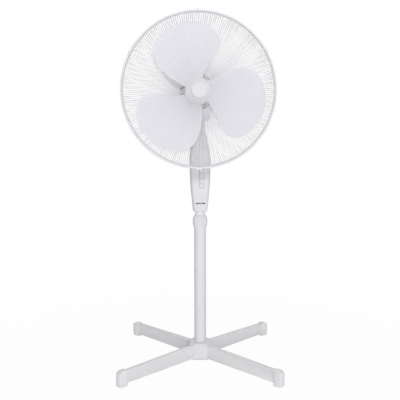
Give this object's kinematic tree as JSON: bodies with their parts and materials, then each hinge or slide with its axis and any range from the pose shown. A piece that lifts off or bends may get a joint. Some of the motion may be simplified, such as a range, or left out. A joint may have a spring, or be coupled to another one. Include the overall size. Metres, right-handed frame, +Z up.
{
  "type": "pedestal fan",
  "caption": "Pedestal fan with crossed feet, a telescopic column, a leaf-shaped control housing and a tilting, oscillating head with broad blades in a wire guard.",
  "frame": {"origin": "centre of the feet on the floor, under the column axis", "axes": "+Z up along the column, the blades face -Y, +X to the right as the fan is seen from the front"},
  "size_m": [0.4808, 0.4808, 1.0115],
  "materials": {
    "feet_plastic": "satin white plastic",
    "leg_metal": "satin pale grey paint",
    "tube_metal": "satin white paint",
    "mast_metal": "satin pale paint",
    "housing_plastic": "satin white plastic",
    "button_plastic": "satin light grey plastic",
    "head_plastic": "satin white plastic",
    "guard_metal": "white coated wire",
    "blade_plastic": "pale lavender grey plastic",
    "inner_plastic": "matt grey plastic",
    "gear_plastic": "natural matt plastic",
    "board": "matt green laminate",
    "steel": "plain steel",
    "motor_dark": "dark grey paint",
    "motor_metal": "die-cast",
    "core": "bare laminations",
    "copper": "lacquered copper wire"
  },
  "bodies": {
    "stand": {"foot_bar_lower": "leg_metal", "foot_bar_upper": "leg_metal", "foot_caps": "feet_plastic", "base_hub": "feet_plastic", "base_plate": "steel", "base_screws": "steel", "tie_bolt": "steel", "tie_nut": "steel", "outer_tube": "tube_metal", "collet": "inner_plastic"},
    "height_collar": {"lock_collar": "feet_plastic"},
    "mast": {"inner_tube": "mast_metal", "guide_bush": "inner_plastic", "control_front": "housing_plastic", "control_back": "housing_plastic", "circuit_board": "board", "housing_screws": "steel", "cord_gland": "inner_plastic", "neck_post": "inner_plastic"},
    "off_button": {"button_off": "button_plastic"},
    "low_button": {"button_low": "button_plastic"},
    "medium_button": {"button_medium": "button_plastic"},
    "high_button": {"button_high": "button_plastic"},
    "tilt": {"tilt_yoke": "housing_plastic", "tilt_bolt": "steel", "tilt_nut": "steel", "pivot_post": "steel"},
    "head": {"gearbox_case": "motor_metal", "gearbox_lid": "motor_metal", "gearbox_screws": "steel", "motor_front_shield": "motor_dark", "motor_rear_shield": "motor_metal", "stator_core": "core", "stator_coils": "copper", "bearings": "steel", "motor_bolts": "steel", "run_capacitor": "inner_plastic", "motor_cover": "head_plastic", "cover_screw": "steel", "rear_guard": "guard_metal", "guard_nut": "head_plastic", "front_guard": "guard_metal", "guard_badge": "head_plastic", "guard_clips": "head_plastic", "guard_lock": "head_plastic", "guard_screw": "steel"},
    "rotor": {"rotor_shaft": "steel", "rotor_core": "core", "impeller": "blade_plastic", "spinner_nut": "head_plastic"},
    "worm_gear": {"worm_wheel": "gear_plastic"},
    "clutch": {"clutch_shaft": "steel"},
    "crank": {"crank_gear": "steel"},
    "link": {"link_arm": "steel"},
    "swing_knob": {"clutch_rod": "steel", "clutch_knob": "head_plastic"}
  },
  "joints": [
    {"name": "collar_turn", "type": "hinge", "parent": "stand", "child": "height_collar", "pos_m": [0, 0, 0.42], "axis": [0, 0, 1], "range_deg": [0, 120]},
    {"name": "mast_slide", "type": "slide", "parent": "stand", "child": "mast", "axis": [0, 0, 1], "range_m": [0, 0.24]},
    {"name": "off_press", "type": "slide", "parent": "mast", "child": "off_button", "axis": [0, 1, 0], "range_m": [0, 0.0025], "stiffness_N_per_m": 600},
    {"name": "low_press", "type": "slide", "parent": "mast", "child": "low_button", "axis": [0, 1, 0], "range_m": [0, 0.0025], "stiffness_N_per_m": 600},
    {"name": "medium_press", "type": "slide", "parent": "mast", "child": "medium_button", "axis": [0, 1, 0], "range_m": [0, 0.0025], "stiffness_N_per_m": 600},
    {"name": "high_press", "type": "slide", "parent": "mast", "child": "high_button", "axis": [0, 1, 0], "range_m": [0, 0.0025], "stiffness_N_per_m": 600},
    {"name": "head_tilt", "type": "hinge", "parent": "mast", "child": "tilt", "pos_m": [0, 0, 0.727], "axis": [-1, 0, 0], "range_deg": [-10, 20]},
    {"name": "head_swing", "type": "hinge", "parent": "tilt", "child": "head", "pos_m": [0, 0, 0.76], "axis": [0, 0, 1], "range_deg": [-35, 35]},
    {"name": "rotor_spin", "type": "hinge", "parent": "head", "child": "rotor", "pos_m": [-0.01, 0, 0.797], "axis": [0, -1, 0], "continuous": true},
    {"name": "worm_gear_spin", "type": "hinge", "parent": "head", "child": "worm_gear", "pos_m": [0.0068, 0.01657, 0.797], "axis": [0, 0, 1], "continuous": true},
    {"name": "clutch_turn", "type": "hinge", "parent": "head", "child": "clutch", "pos_m": [0.0068, 0.01657, 0.79], "axis": [0, 0, 1], "range_deg": [-330, 330]},
    {"name": "crank_turn", "type": "hinge", "parent": "head", "child": "crank", "pos_m": [-0.009, 0.026, 0.78], "axis": [0, 0, 1], "range_deg": [-92, 92]},
    {"name": "link_turn", "type": "hinge", "parent": "crank", "child": "link", "pos_m": [-0.0205, 0.026, 0.748], "axis": [0, 0, 1], "range_deg": [-92, 92]},
    {"name": "knob_pull", "type": "slide", "parent": "head", "child": "swing_knob", "axis": [0, 0, 1], "range_m": [0, 0.008]}
  ],
  "couplings": [
    {"joint": "worm_gear_spin", "follows": "rotor_spin", "ratio": -0.041667},
    {"joint": "crank_turn", "follows": "head_swing", "ratio": -2.5714},
    {"joint": "clutch_turn", "follows": "head_swing", "ratio": 9.2571},
    {"joint": "link_turn", "follows": "head_swing", "ratio": 2.5714}
  ]
}
